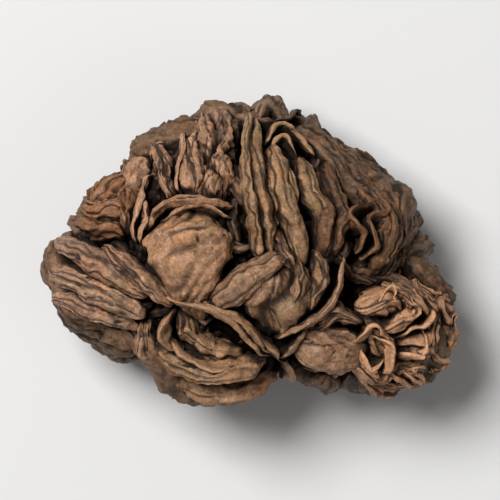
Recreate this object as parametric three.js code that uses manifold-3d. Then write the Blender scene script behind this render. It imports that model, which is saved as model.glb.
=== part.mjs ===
// A ripe pu-erh tea nugget: one lump of fermented tea leaves that stuck together in the pile and dried hard.
// The leaves are folded, rolled and pleated and lie packed over each other, so the solid is a dense core with the
// leaves that show fused on. Millimetres, +Z up. The lump lies on a small flat of its underside, and the origin
// is the middle of its footprint there.

import * as THREE from "three";
import { mergeVertices } from "three/addons/utils/BufferGeometryUtils.js";
import Module from "manifold-3d";

const wasm = await Module();
wasm.setup();

// Driving dimensions
const NUGGET_LENGTH = 24; // along X, over the leaves
const NUGGET_WIDTH = 18.6; // along Y
const NUGGET_HEIGHT = 13.2; // along Z
const LEAF_PILE = 1.7; // how far the packed leaves stand out of the core
const REST_DEPTH = 0.6; // how much of the underside is pressed flat where the lump lies

// The core: an egg shape with flatter and fuller sides, a little pressed in and out, with pits between the leaves
const SIZE = new THREE.Vector3(NUGGET_LENGTH, NUGGET_WIDTH, NUGGET_HEIGHT);
const CORE_RADII = SIZE.multiplyScalar(0.5).subScalar(LEAF_PILE);
const CORE_MIDDLE = new THREE.Vector3(0.1, -0.1, NUGGET_HEIGHT / 2);
const CORE_AROUND = 18; // facets round the core
const CORE_DOWN = 12; // facets from top to bottom
const PRESSED = 0.03; // how much of its reach it is pressed in and out
const SIDES = [
  { azimuth: 30, grow: -0.18, over: 32 }, // the flat upper right
  { azimuth: 0, grow: -0.07, over: 10 }, // the notch between the right lobe and the curly lump
  { azimuth: 290, grow: -0.24, over: 16 }, // the notch below the navel
  { azimuth: 224, grow: -0.17, over: 18 }, // the hollow under the fan
  { azimuth: 158, grow: -0.14, over: 18 }, // the upper left
  { azimuth: 88, grow: 0.09, over: 14 }, // the crown
  { azimuth: 114, grow: -0.09, over: 12 }, // its left shoulder
  { azimuth: 332, grow: 0.15, over: 13 }, // the full lower right
];
const PITS = [
  { x: 2.2, y: -6.2, depth: 1.5, reach: 0.9 }, // the navel, where the long rims meet
  { x: 6.6, y: -1.8, depth: 2.2, reach: 1.0 }, // the hole beside the petal
  { x: -1.4, y: -4.5, depth: 1.8, reach: 1.3 }, // the pocket under the long rim
  { x: -0.1, y: 5.6, depth: 1.4, reach: 0.9 }, // the cleft left of the crown fold
  { x: -8.6, y: -4.4, depth: 1.0, reach: 1.2 }, // the gap under the fan
  { x: 10.1, y: -6.8, depth: 1.0, reach: 0.8 }, // the hole in the curly lump
  { x: -6.1, y: 5.2, depth: 1.2, reach: 0.8 }, // the long cleft beside the upper left bundle
  { x: -6.9, y: 2.2, depth: 1.2, reach: 0.7 }, // its lower end, beside the knobs
  { x: 6.3, y: 1.5, depth: 1.2, reach: 0.7 }, // the hole beside the jagged rims
];

// How far the core reaches from its middle along a direction
function coreReach({ x, y, z }, pits = PITS) {
  const azimuth = THREE.MathUtils.radToDeg(Math.atan2(y, x));
  let swell = 1;
  for (const side of SIDES) {
    const off = THREE.MathUtils.euclideanModulo(azimuth - side.azimuth + 180, 360) - 180;
    swell += side.grow * (x * x + y * y) * Math.exp(-((off / side.over) ** 2));
  }
  const egg = swell / Math.hypot(x / CORE_RADII.x, y / CORE_RADII.y, z / CORE_RADII.z);
  const broad = Math.sin(3.1 * x + 1.3) * Math.sin(2.7 * y - 0.6);
  const pressed = 1 + PRESSED * (broad + Math.sin(4.3 * z + 2 * x));
  let pitted = 0;
  for (const pit of z > 0 ? pits : []) {
    const away = Math.hypot(CORE_MIDDLE.x + x * egg - pit.x, CORE_MIDDLE.y + y * egg - pit.y);
    pitted += pit.depth * Math.exp(-((away / pit.reach) ** 2));
  }
  return egg * pressed - pitted;
}

function coreSkin() {
  const skin = new THREE.SphereGeometry(1, CORE_AROUND, CORE_DOWN);
  const place = skin.getAttribute("position");
  const vertex = new THREE.Vector3();
  for (let i = 0; i < place.count; i++) {
    vertex.fromBufferAttribute(place, i).multiply(CORE_RADII).normalize();
    vertex.multiplyScalar(coreReach(vertex)).add(CORE_MIDDLE);
    place.setXYZ(i, vertex.x, vertex.y, vertex.z);
  }
  return skin;
}

// The core's point on the ray through a place, and the way out of the core there
function onCore(place, pits = PITS) {
  const ray = place.clone().sub(CORE_MIDDLE).normalize();
  const at = ray.multiplyScalar(coreReach(ray, pits)).add(CORE_MIDDLE);
  const out = at.clone().sub(CORE_MIDDLE).divide(CORE_RADII).divide(CORE_RADII).normalize();
  return { at, out };
}

// The core's point from which what stands out that far comes over (side 1) or under (side -1) a place in plan.
// Leaves bridge the pits, so the pits don't count here.
const SEAT_ROUNDS = 8;
function seatFor(x, y, side, stand) {
  let aimX = x;
  let aimY = y;
  let seat;
  for (let i = 0; i < SEAT_ROUNDS; i++) {
    const u = (aimX - CORE_MIDDLE.x) / CORE_RADII.x;
    const v = (aimY - CORE_MIDDLE.y) / CORE_RADII.y;
    const rise = Math.sqrt(Math.max(0.02, 1 - u * u - v * v)) * CORE_RADII.z;
    seat = onCore(new THREE.Vector3(aimX, aimY, CORE_MIDDLE.z + side * rise), []);
    aimX += x - seat.at.x - stand * seat.out.x;
    aimY += y - seat.at.y - stand * seat.out.y;
  }
  return seat;
}

// The midline of a leaf whose back passes over its places in plan
const MIDLINE_STEPS = 12;
const BACK_AT = 0.4; // how far up its height a leaf's back counts as over its places
function midlineOver({ places, side, lift, height, plumb }) {
  const plan = new THREE.CatmullRomCurve3(places.map(([x, y]) => new THREE.Vector3(x, y, 0)), false, "catmullrom");
  const stand = lift + BACK_AT * height * (1 - plumb);
  return plan.getSpacedPoints(MIDLINE_STEPS).map(({ x, y }) => seatFor(x, y, side, stand));
}

// The midline of a leaf that sets off both ways from its middle and follows the core, turning by sweep degrees
function midlineFrom({ start, way, length, sweep }) {
  const step = length / MIDLINE_STEPS;
  const turn = THREE.MathUtils.degToRad(sweep) / MIDLINE_STEPS;
  const halves = [-1, 1].map((sign) => {
    const heading = way.clone().addScaledVector(start.out, -way.dot(start.out)).normalize().multiplyScalar(sign);
    const run = [];
    let here = start;
    for (let i = 0; i < MIDLINE_STEPS / 2; i++) {
      heading.applyAxisAngle(here.out, sign * turn);
      here = onCore(here.at.clone().addScaledVector(heading, step));
      heading.addScaledVector(here.out, -heading.dot(here.out)).normalize();
      run.push(here);
    }
    return run;
  });
  return [...halves[0].reverse(), start, ...halves[1]];
}

// What a leaf is unless its own line says otherwise
const LEAF = {
  width: 1.5,
  height: 2.2, // from its buried back to its face
  lift: 0.7, // how far its middle stands off the core
  dive: 0.5, // how much deeper its ends are tucked in
  raiseStart: 0, // how much more its first end stands off
  plumb: 0, // how far it stands straight up rather than square to the core
  lean: 0, // how many degrees it is rolled over
  taper: 0, // above 0 it is wider at its start
  blunt: 0.4, // below 1 its ends are blunt
  pleats: 0, // how many grooves run along its face
  pleat: 0.25, // how deep they are
  wave: 0.1, // how far it sways to each side
  ripples: 1.4, // how often it sways
  across: 6, // facets round it
  along: 6, // facets along it
};

// One folded leaf as a closed skin, which comes to a point within TIP of each end
const TIP = 1e-6;
const UP = new THREE.Vector3(0, 0, 1);
function foldedLeaf(options) {
  const leaf = { ...LEAF, ...options };
  const line = leaf.places ? midlineOver(leaf) : midlineFrom(leaf);
  const seats = line.map(({ at, out }, i) => {
    const t = i / MIDLINE_STEPS;
    const stand = leaf.lift + leaf.raiseStart * (1 - t) ** 2 - leaf.dive * (2 * t - 1) ** 4;
    return at.clone().addScaledVector(out, stand);
  });
  const curve = new THREE.CatmullRomCurve3(seats);
  const skin = new THREE.SphereGeometry(1, leaf.across, leaf.along);
  const place = skin.getAttribute("position");
  const vertex = new THREE.Vector3();
  const roll = THREE.MathUtils.degToRad(leaf.lean);
  for (let i = 0; i < place.count; i++) {
    vertex.fromBufferAttribute(place, i);
    const t = Math.acos(THREE.MathUtils.clamp(vertex.y, -1, 1)) / Math.PI;
    const round = Math.atan2(vertex.z, vertex.x);
    const full = Math.max(0, Math.sin(Math.PI * t) - TIP) ** leaf.blunt * (1 + leaf.taper * (0.5 - t));
    const flat = full * Math.cos(round);
    let rise = full * Math.sin(round) * (leaf.height / 2);
    if (leaf.pleats > 0) {
      const groove = 0.5 + 0.5 * Math.cos(Math.PI * leaf.pleats * flat + 2 * Math.sin(5 * t + 3 * leaf.width));
      rise -= leaf.pleat * full * groove * Math.max(0, Math.sin(round));
    }
    const sway = leaf.wave * Math.sin(2 * Math.PI * leaf.ripples * t + 3 * leaf.width + leaf.height) * full;
    const spread = flat * (leaf.width / 2) + sway;
    const step = Math.min(MIDLINE_STEPS - 1, Math.floor(t * MIDLINE_STEPS));
    const out = line[step].out.clone().lerp(line[step + 1].out, t * MIDLINE_STEPS - step).lerp(UP, leaf.plumb);
    const along = curve.getTangent(t);
    const side = out.cross(along).normalize();
    const up = along.clone().cross(side);
    vertex.copy(curve.getPoint(t));
    vertex.addScaledVector(side, spread * Math.cos(roll) - rise * Math.sin(roll));
    vertex.addScaledVector(up, spread * Math.sin(roll) + rise * Math.cos(roll));
    place.setXYZ(i, vertex.x, vertex.y, vertex.z);
  }
  return skin;
}

// A leaf on top, given by the places in plan of its first end, its middle and its last end
function topLeaf(first, middle, last, options) {
  return { places: [first, middle, last], side: 1, ...options };
}

// A leaf's free edge that stands up out of the lump: a thin wall
const RIM = { width: 0.5, height: 2.6, lift: 1.1, plumb: 0.8, across: 4, along: 7 };

// The long folds that run down from the crown to the middle, and the thin caps and dark leaf behind them
const crownFolds = [
  topLeaf([0.4, 9.8], [0.7, 4.6], [1.2, 0.2], {
    width: 1.7, height: 3.0, lift: 0.9, taper: -1.0, blunt: 0.3, pleats: 2, across: 8, along: 9,
  }),
  topLeaf([1.5, 7.3], [2.25, 4.1], [3.6, -0.2], { width: 1.6, height: 3.0, lift: 1.0, blunt: 0.3, along: 8 }),
  topLeaf([3.2, 6.5], [3.8, 4.8], [4.7, 2.6], { width: 1.4, height: 2.6, lift: 1.0, blunt: 0.3, across: 5 }),
  topLeaf([4.8, 6.3], [5.3, 3.4], [4.9, -0.2], { width: 2.2, height: 2.6, lift: 0.9, pleats: 2, across: 8 }),
  topLeaf([5.8, 6.2], [6.6, 5.1], [7.2, 4.0], { width: 1.4, lift: 0.6 }),
  topLeaf([1.1, 7.1], [2.2, 7.8], [4.1, 6.7], { ...RIM, lift: 1.2 }),
  topLeaf([2.2, 9.0], [4.7, 7.5], [6.7, 5.3], { width: 2.4, height: 2.0, lift: 0.4, pleats: 1 }),
];

// The rough bundle at the upper left, with the narrow leaves and thin edges beside it
const upperLeftBundle = [
  topLeaf([-1.7, 9.7], [-1.9, 7.8], [-2.1, 5.8], { width: 2.6, height: 2.4, pleats: 2, pleat: 0.3, across: 8 }),
  topLeaf([-1.5, 6.5], [-1.8, 5.2], [-1.9, 3.7], { width: 2.4, height: 2.6, pleats: 1, pleat: 0.3, across: 8 }),
  topLeaf([-3.2, 7.6], [-3.4, 5.9], [-3.2, 4.1], { width: 1.5, height: 2.6, lift: 0.8 }),
  topLeaf([-5.5, 7.3], [-5.0, 5.6], [-4.5, 3.9], { width: 0.9, height: 2.4, lift: 0.9, across: 5 }),
  topLeaf([-7.0, 7.4], [-7.6, 6.0], [-8.0, 4.6], { width: 1.8, lift: 0.5 }),
  topLeaf([-5.9, 5.2], [-6.3, 3.2], [-6.5, 0.8], RIM),
];

// The smooth bulb, wide at its top, and the thin edges that arch over it
const bulb = [
  topLeaf([-3.6, 2.8], [-3.4, -0.2], [-2.8, -4.1], {
    width: 4.5, height: 3.6, lift: 0.9, taper: 1.0, across: 10, along: 7,
  }),
  topLeaf([-6.1, 1.6], [-4.5, 3.2], [-0.7, 3.3], { ...RIM, width: 0.7, plumb: 0.4, lift: 1.2, along: 8 }),
  topLeaf([-4.9, 2.4], [-3.0, 2.9], [-0.9, 2.6], { ...RIM, width: 0.4, lift: 0.9, along: 6 }),
];

// The small tongue in the middle, and the petals that narrow towards the navel
const petals = [
  topLeaf([-2.1, -3.1], [0.2, -1.3], [2.5, 0.4], { width: 1.9, height: 2.4, lift: 1.5, blunt: 0.6 }),
  topLeaf([1.3, 1.6], [2.1, 0.6], [2.9, -0.8], { width: 1.3, lift: 1.0, across: 5 }),
  topLeaf([2.3, -0.9], [2.1, -3.2], [2.1, -5.4], {
    width: 3.7, height: 2.8, lift: 1.0, taper: 1.2, blunt: 0.45, pleats: 1, across: 10, along: 7,
  }),
  topLeaf([3.3, -0.2], [3.4, -1.7], [3.1, -3.1], { width: 0.9, height: 2.6, lift: 1.3, across: 5 }),
  topLeaf([4.3, 0.0], [4.5, -1.6], [4.0, -3.1], { width: 1.1, height: 2.6, lift: 1.0, across: 5 }),
  topLeaf([5.9, -0.2], [5.1, -2.9], [2.0, -5.1], { ...RIM, lift: 1.3, along: 9 }),
  topLeaf([2.9, -5.0], [5.2, -5.6], [7.6, -6.2], { width: 3.0, height: 1.9, lift: 0.9, across: 8 }),
  topLeaf([4.8, -4.0], [5.7, -3.5], [6.7, -3.9], { width: 0.9, lift: 1.0, across: 5 }),
];

// The long double edge from the fan to the navel, with the pocket and its small leaves under it
const longRims = [
  topLeaf([-4.8, -2.4], [-1.2, -3.2], [1.3, -6.0], { ...RIM, width: 0.6, height: 2.8, lift: 1.4, along: 10 }),
  topLeaf([0.6, -4.5], [1.3, -5.2], [2.0, -6.1], { ...RIM, along: 6 }),
  topLeaf([-4.5, -3.1], [-4.5, -5.2], [-1.3, -6.6], { ...RIM, lift: 1.2, along: 9 }),
  topLeaf([-4.0, -3.4], [-3.6, -4.3], [-2.8, -5.4], { width: 1.2, lift: 0.4 }),
  topLeaf([-3.1, -5.0], [-2.0, -5.7], [-0.4, -6.2], { width: 1.3, lift: 0.1 }),
  topLeaf([-5.5, -5.9], [-3.0, -7.0], [1.0, -6.9], { width: 1.1, height: 2.6, lift: 1.1, across: 5, along: 8 }),
  topLeaf([-4.8, -7.6], [-1.7, -8.5], [2.2, -7.8], { width: 1.8, height: 2.4, pleats: 1, across: 8, along: 7 }),
];

// The fan of pleats that sticks out at the left, and the column below its root
const FAN = { height: 2.6, lift: 1.1, dive: 0.3, raiseStart: 1.0, across: 6, along: 7 };
const fan = [
  topLeaf([-8.9, 0.6], [-6.6, -1.1], [-4.6, -3.0], { width: 1.2, height: 2.6, lift: 1.2, along: 8 }),
  topLeaf([-11.6, 0.9], [-9.2, 0.0], [-6.2, -2.5], { ...FAN, width: 1.4 }),
  topLeaf([-11.8, -0.6], [-9.5, -1.6], [-6.3, -3.6], { ...FAN, width: 1.6 }),
  topLeaf([-11.7, -2.1], [-9.6, -2.9], [-6.8, -4.5], { ...FAN, width: 1.5 }),
  topLeaf([-6.3, -3.8], [-6.0, -5.5], [-4.5, -7.6], { width: 1.5, height: 2.4, lift: 0.9, along: 7 }),
  topLeaf([-6.5, -6.4], [-5.4, -7.3], [-4.2, -8.1], { width: 1.4, lift: 0.6 }),
];

// The knobs at the left edge
const leftKnobs = [
  topLeaf([-8.0, 5.4], [-8.9, 4.5], [-9.6, 3.4], { width: 1.9, height: 2.6, lift: 0.9 }),
  topLeaf([-10.2, 3.3], [-9.0, 3.0], [-7.7, 3.0], { width: 1.6, height: 2.6, lift: 1.1 }),
  topLeaf([-10.4, 2.0], [-9.1, 1.8], [-7.7, 1.6], { width: 1.3, height: 2.6, lift: 1.1 }),
  topLeaf([-7.6, 4.5], [-7.3, 3.1], [-7.3, 1.6], { width: 1.2, across: 5 }),
];

// The right lobe with its two jagged edges, and the curly lump below it
const JAGGED = { ...RIM, lift: 1.4, wave: 0.42, ripples: 1.7, along: 8 };
const rightLobes = [
  topLeaf([7.7, 5.1], [9.0, 2.4], [8.4, -1.2], {
    width: 2.5, height: 2.8, lift: 1.0, pleats: 1, across: 8, along: 7,
  }),
  topLeaf([7.1, 3.8], [6.6, 2.3], [6.9, 0.6], JAGGED),
  topLeaf([8.4, 3.8], [7.7, 2.0], [7.2, -0.1], JAGGED),
  topLeaf([7.3, -3.1], [8.2, -2.7], [9.1, -3.1], { width: 1.7, height: 2.6, lift: 1.3 }),
  topLeaf([8.8, -1.7], [10.4, -3.5], [8.4, -5.0], { width: 1.0, height: 2.6, lift: 1.4, across: 5, along: 8 }),
  topLeaf([10.7, -2.2], [11.1, -4.4], [9.3, -5.9], { width: 1.0, height: 2.6, lift: 1.2, across: 5 }),
  topLeaf([11.2, -2.0], [12.0, -4.3], [11.2, -7.0], { width: 1.4, height: 2.6, lift: 1.0, along: 7 }),
  topLeaf([7.2, -3.8], [7.9, -4.8], [9.1, -6.1], { width: 1.4, lift: 0.8 }),
  topLeaf([6.9, -6.5], [8.3, -6.8], [9.6, -6.5], { width: 1.7, lift: 0.8 }),
  topLeaf([6.9, -7.1], [9.0, -8.1], [11.0, -7.5], { width: 1.3, height: 2.4, lift: 1.0, along: 7 }),
];

// The broad leaves that the lump lies on, given like the ones on top but underneath
function underLeaf(first, middle, last, options) {
  return { places: [first, middle, last], side: -1, dive: 0, ...options };
}
const restingLeaves = [
  underLeaf([-3.9, -1.4], [0.2, 0.1], [4.1, 1.6], { width: 4.4, height: 2.6, pleats: 1, across: 8, along: 7 }),
  underLeaf([-4.8, 1.8], [-1.6, 3.2], [2.4, 4.6], { width: 3.4, height: 2.4, lift: 0.6 }),
  underLeaf([-2.2, -4.2], [1.8, -3.1], [5.4, -3.0], { width: 3.6, height: 2.4, lift: 0.6 }),
  underLeaf([-6.4, 0.8], [-4.8, -1.9], [-3.2, -4.4], { width: 3.2, height: 2.4, lift: 0.5 }),
  underLeaf([4.5, 4.4], [5.4, 1.9], [6.6, -0.9], { width: 3.4, height: 2.4, lift: 0.5 }),
];

// Leaves round the sides: bundles of three that lie alike, spiralling down the lump
const BUNDLES = 10;
const BUNDLE_SIZE = 3;
const FIRST_LEVEL = 0.02; // the height of the first bundle, as a part of the core's half height
const LAST_LEVEL = -0.72;
const FIRST_TURN = 0.92; // where the first bundle lies, in radians round from +X
const GOLDEN_TURN = 2.39996; // from one bundle to the next
const SEED = 20260;
function seededDraw(seed) {
  let state = seed;
  return (low, high) => {
    state = (Math.imul(state, 1664525) + 1013904223) >>> 0;
    return low + ((high - low) * state) / 2 ** 32;
  };
}
function sideBundles() {
  const draw = seededDraw(SEED);
  const leaves = [];
  for (let i = 0; i < BUNDLES; i++) {
    const level = FIRST_LEVEL + ((LAST_LEVEL - FIRST_LEVEL) * i) / (BUNDLES - 1);
    const turn = FIRST_TURN + i * GOLDEN_TURN + draw(-0.2, 0.2);
    const ring = Math.sqrt(1 - level * level);
    const middle = new THREE.Vector3(Math.cos(turn) * ring, Math.sin(turn) * ring, level);
    const start = onCore(middle.multiply(CORE_RADII).add(CORE_MIDDLE));
    const lie = draw(0, Math.PI);
    const east = new THREE.Vector3(0, 0, 1).cross(start.out).normalize();
    const north = start.out.clone().cross(east);
    const way = east.clone().multiplyScalar(Math.cos(lie)).addScaledVector(north, Math.sin(lie));
    const beside = start.out.clone().cross(way);
    for (let k = 0; k < BUNDLE_SIZE; k++) {
      const place = start.at.clone().addScaledVector(beside, (k - 1) * draw(1.7, 2.3));
      place.addScaledVector(way, draw(-1, 1));
      leaves.push({
        start: onCore(place),
        way,
        length: draw(6.0, 9.0),
        width: draw(2.3, 3.4),
        height: draw(2.2, 3.0),
        lift: draw(0.5, 0.9),
        sweep: draw(-40, 40),
        lean: draw(-20, 20),
        taper: draw(-0.5, 0.5),
        pleats: k === 1 ? 1 : 0,
        across: 5,
        along: 5,
      });
    }
  }
  return leaves;
}

// A closed skin as a solid
function solidOf(skin) {
  skin.deleteAttribute("normal");
  skin.deleteAttribute("uv");
  const merged = mergeVertices(skin, 1e-4);
  const vertProperties = merged.getAttribute("position").array;
  const triVerts = new Uint32Array(merged.index.array);
  return new wasm.Manifold(new wasm.Mesh({ numProp: 3, vertProperties, triVerts }));
}

// The core with every leaf fused on, pressed flat below. Small gaps that fusing seals are filled, and loose
// scraps dropped, by keeping the outer skin alone.
function fusedNugget() {
  const leaves = [
    ...crownFolds,
    ...upperLeftBundle,
    ...bulb,
    ...petals,
    ...longRims,
    ...fan,
    ...leftKnobs,
    ...rightLobes,
    ...restingLeaves,
    ...sideBundles(),
  ];
  let lump = solidOf(coreSkin());
  for (const leaf of leaves) {
    lump = lump.add(solidOf(foldedLeaf(leaf)));
  }
  const below = new THREE.BoxGeometry(2 * NUGGET_LENGTH, 2 * NUGGET_LENGTH, NUGGET_HEIGHT);
  below.translate(0, 0, REST_DEPTH - NUGGET_HEIGHT / 2);
  const skins = lump.subtract(solidOf(below)).decompose();
  return skins.reduce((largest, skin) => (skin.volume() > largest.volume() ? skin : largest));
}

const fused = fusedNugget().getMesh();
const geometry = new THREE.BufferGeometry();
geometry.setAttribute("position", new THREE.BufferAttribute(fused.vertProperties, 3));
geometry.setIndex(new THREE.BufferAttribute(fused.triVerts, 1));
geometry.computeBoundingBox();
const footprint = geometry.boundingBox.getCenter(new THREE.Vector3());
geometry.translate(-footprint.x, -footprint.y, -geometry.boundingBox.min.z);
geometry.computeVertexNormals();

const driedLeaf = new THREE.MeshStandardMaterial({ color: 0x6b4f3c, roughness: 0.62, metalness: 0 });
const nugget = new THREE.Mesh(geometry, driedLeaf);
nugget.name = "tea_nugget";

const part = new THREE.Group();
part.add(nugget);
export default part;
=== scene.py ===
# A ripe pu-erh tea nugget: a hard lump of fermented tea leaves that stuck together in the pile and dried.
# Its leaves are folded, rolled and pleated over each other round a dense middle. The lump is shaped here in
# millimetres, on the same rule as the solid it stands for, and set down on its own flat at the end.

import math
import random

import bmesh
import bpy
import numpy as np
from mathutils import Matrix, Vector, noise


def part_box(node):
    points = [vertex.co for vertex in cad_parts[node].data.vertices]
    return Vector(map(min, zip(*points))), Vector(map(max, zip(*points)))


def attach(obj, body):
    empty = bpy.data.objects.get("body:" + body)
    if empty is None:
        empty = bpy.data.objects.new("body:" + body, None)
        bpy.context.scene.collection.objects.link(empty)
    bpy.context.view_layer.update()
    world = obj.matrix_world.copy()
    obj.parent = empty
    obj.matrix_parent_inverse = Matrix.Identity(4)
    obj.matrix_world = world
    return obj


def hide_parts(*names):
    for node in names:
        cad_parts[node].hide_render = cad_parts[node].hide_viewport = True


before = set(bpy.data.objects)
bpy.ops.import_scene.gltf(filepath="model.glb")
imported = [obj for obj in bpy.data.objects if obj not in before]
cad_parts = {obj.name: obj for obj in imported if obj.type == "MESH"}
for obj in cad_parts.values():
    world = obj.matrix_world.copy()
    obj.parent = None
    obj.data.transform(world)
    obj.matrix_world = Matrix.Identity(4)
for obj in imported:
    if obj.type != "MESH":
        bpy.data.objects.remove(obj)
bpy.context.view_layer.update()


# The imported middle: leaf crumbled and pressed until single leaves no longer show. Its near black brown is
# painted shade, as dark as the deepest cleft, because only its crumbly skin shows deep between the leaves,
# and every leaf is stuck to it.
MM = 0.001
LENGTH, WIDTH, HEIGHT = 24.0, 18.6, 13.2
LEAF_PILE = 1.7  # how far the leaves stand out of the core
CORE_RADII = np.array([LENGTH, WIDTH, HEIGHT]) / 2 - LEAF_PILE
CORE_MIDDLE = np.array([0.1, -0.1, HEIGHT / 2])
CORE_ROUNDS = 7  # how often its ball is divided
PRESSED = 0.03  # how unevenly it is pressed, as a share of its reach
FOLD_RISE, WRINKLE_RISE, SPECK_RISE, SUNK = 0.34, 0.2, 0.14, 0.1
CORE_SHARP = 2.2  # how steeply its ridges fall away
SIDES = [  # azimuth in degrees, how much the core grows there, and over how many degrees
    (30, -0.18, 32),  # the flat upper right
    (0, -0.07, 10),  # the notch between the right lobe and the curly lump
    (290, -0.24, 16),  # the notch below the navel
    (224, -0.17, 18),  # the hollow under the fan
    (158, -0.14, 18),  # the upper left
    (88, 0.09, 14),  # the crown
    (114, -0.09, 12),  # its left shoulder
    (332, 0.15, 13),  # the full lower right
]
PITS = [  # middle in plan, depth and reach
    (2.2, -6.2, 1.5, 0.9),  # the navel, where the long edges meet
    (6.6, -1.8, 2.2, 1.0),  # the hole beside the petal
    (-1.4, -4.5, 1.8, 1.3),  # the pocket under the long edge
    (-0.1, 5.6, 1.4, 0.9),  # the cleft left of the crown fold
    (-8.6, -4.4, 1.0, 1.2),  # the gap under the fan
    (10.1, -6.8, 1.0, 0.8),  # the hole in the curly lump
    (-6.1, 5.2, 1.2, 0.8),  # the long cleft beside the upper left bundle
    (-6.9, 2.2, 1.2, 0.7),  # its lower end, beside the knobs
    (6.3, 1.5, 1.2, 0.7),  # the hole beside the jagged edges
]
CRUMPLES = [  # how far each pushes, its waves to the millimetre, and where in the noise it starts
    (0.30, 0.35, 0),  # broad dents
    (0.17, 0.95, 40),  # kinks
    (0.05, 2.6, 70),  # small nicks
]
CRUMPLE_SEED = 4
LEAF_PATCHES = [  # grains to the metre, their detail, where a patch begins and is full, its strength and tint
    (620, 3, 0.52, 0.66, 0.6, (1.6, 1.14, 0.78)),  # rusty, where the skin is rubbed
    (900, 4, 0.53, 0.68, 0.45, (1.25, 1.34, 1.6)),  # a grey bloom
    (520, 3, 0.5, 0.62, 0.6, (0.86, 0.98, 0.82)),  # olive
    (1900, 4, 0.5, 0.64, 0.52, (1.85, 1.72, 1.46)),  # pale flecks
    (1500, 3, 0.5, 0.62, 0.62, (0.4, 0.36, 0.36)),  # dark flecks
]
PIECES = []  # every piece of the lump, to set down together at the end


def unit(vectors):
    return vectors / np.linalg.norm(vectors, axis=-1, keepdims=True)


def core_reach(rays, pits=PITS):
    """How far the core reaches from its middle along each unit ray."""
    x, y, z = rays[..., 0], rays[..., 1], rays[..., 2]
    azimuth = np.degrees(np.arctan2(y, x))
    swell = 1.0
    for where, grow, over in SIDES:
        off = (azimuth - where + 180) % 360 - 180
        swell = swell + grow * (x * x + y * y) * np.exp(-((off / over) ** 2))
    egg = swell / np.sqrt(((rays / CORE_RADII) ** 2).sum(-1))
    across = PRESSED * np.sin(3.1 * x + 1.3) * np.sin(2.7 * y - 0.6)
    reach = egg * (1 + across + PRESSED * np.sin(4.3 * z + 2 * x))
    for pit_x, pit_y, depth, spread in pits:
        away = np.hypot(CORE_MIDDLE[0] + x * egg - pit_x, CORE_MIDDLE[1] + y * egg - pit_y)
        reach = reach - np.where(z > 0, depth * np.exp(-((away / spread) ** 2)), 0)
    return reach


def perlin(places):
    """Smooth noise from about -1 to 1 at each place."""
    return np.array([noise.noise(p) for p in places.tolist()])


def ridged(places, sharp):
    """The same noise folded up into ridges: 1 along a ridge, and below 0 between ridges."""
    return 1 - sharp * np.abs(perlin(places))


noise.seed_set(CRUMPLE_SEED)


def sway(places):
    """A smooth random push at each place."""
    return np.array([noise.noise_vector(p) for p in places.tolist()])


def crumpled(places):
    """The whole lump's crumple, which bends everything in it alike."""
    bent = places
    for push, waves, start in CRUMPLES:
        bent = bent + push * sway(places * waves + start)
    return bent


def icosphere(rounds):
    """The points and triangles of a ball of radius 1."""
    ball = bmesh.new()
    bmesh.ops.create_icosphere(ball, subdivisions=rounds, radius=1)
    points = np.array([v.co for v in ball.verts])
    faces = np.array([[v.index for v in f.verts] for f in ball.faces])
    ball.free()
    return points, faces


def made_piece(name, points, faces, material, marks):
    """A piece of the lump from points in millimetres and triangles, with its marks for the material."""
    mesh = bpy.data.meshes.new(name)
    mesh.vertices.add(len(points))
    mesh.vertices.foreach_set("co", (points * MM).astype(np.float32).ravel())
    mesh.loops.add(3 * len(faces))
    mesh.loops.foreach_set("vertex_index", faces.astype(np.int32).ravel())
    mesh.polygons.add(len(faces))
    mesh.polygons.foreach_set("loop_start", np.arange(0, 3 * len(faces), 3, dtype=np.int32))
    mesh.update()
    mesh.shade_smooth()
    for mark, values in marks.items():
        mesh.attributes.new(mark, "FLOAT", "POINT").data.foreach_set("value", values.astype(np.float32))
    mesh.materials.append(material)
    piece = bpy.data.objects.new(name, mesh)
    bpy.context.scene.collection.objects.link(piece)
    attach(piece, "root")
    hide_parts("tea_nugget")
    PIECES.append(piece)


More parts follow.
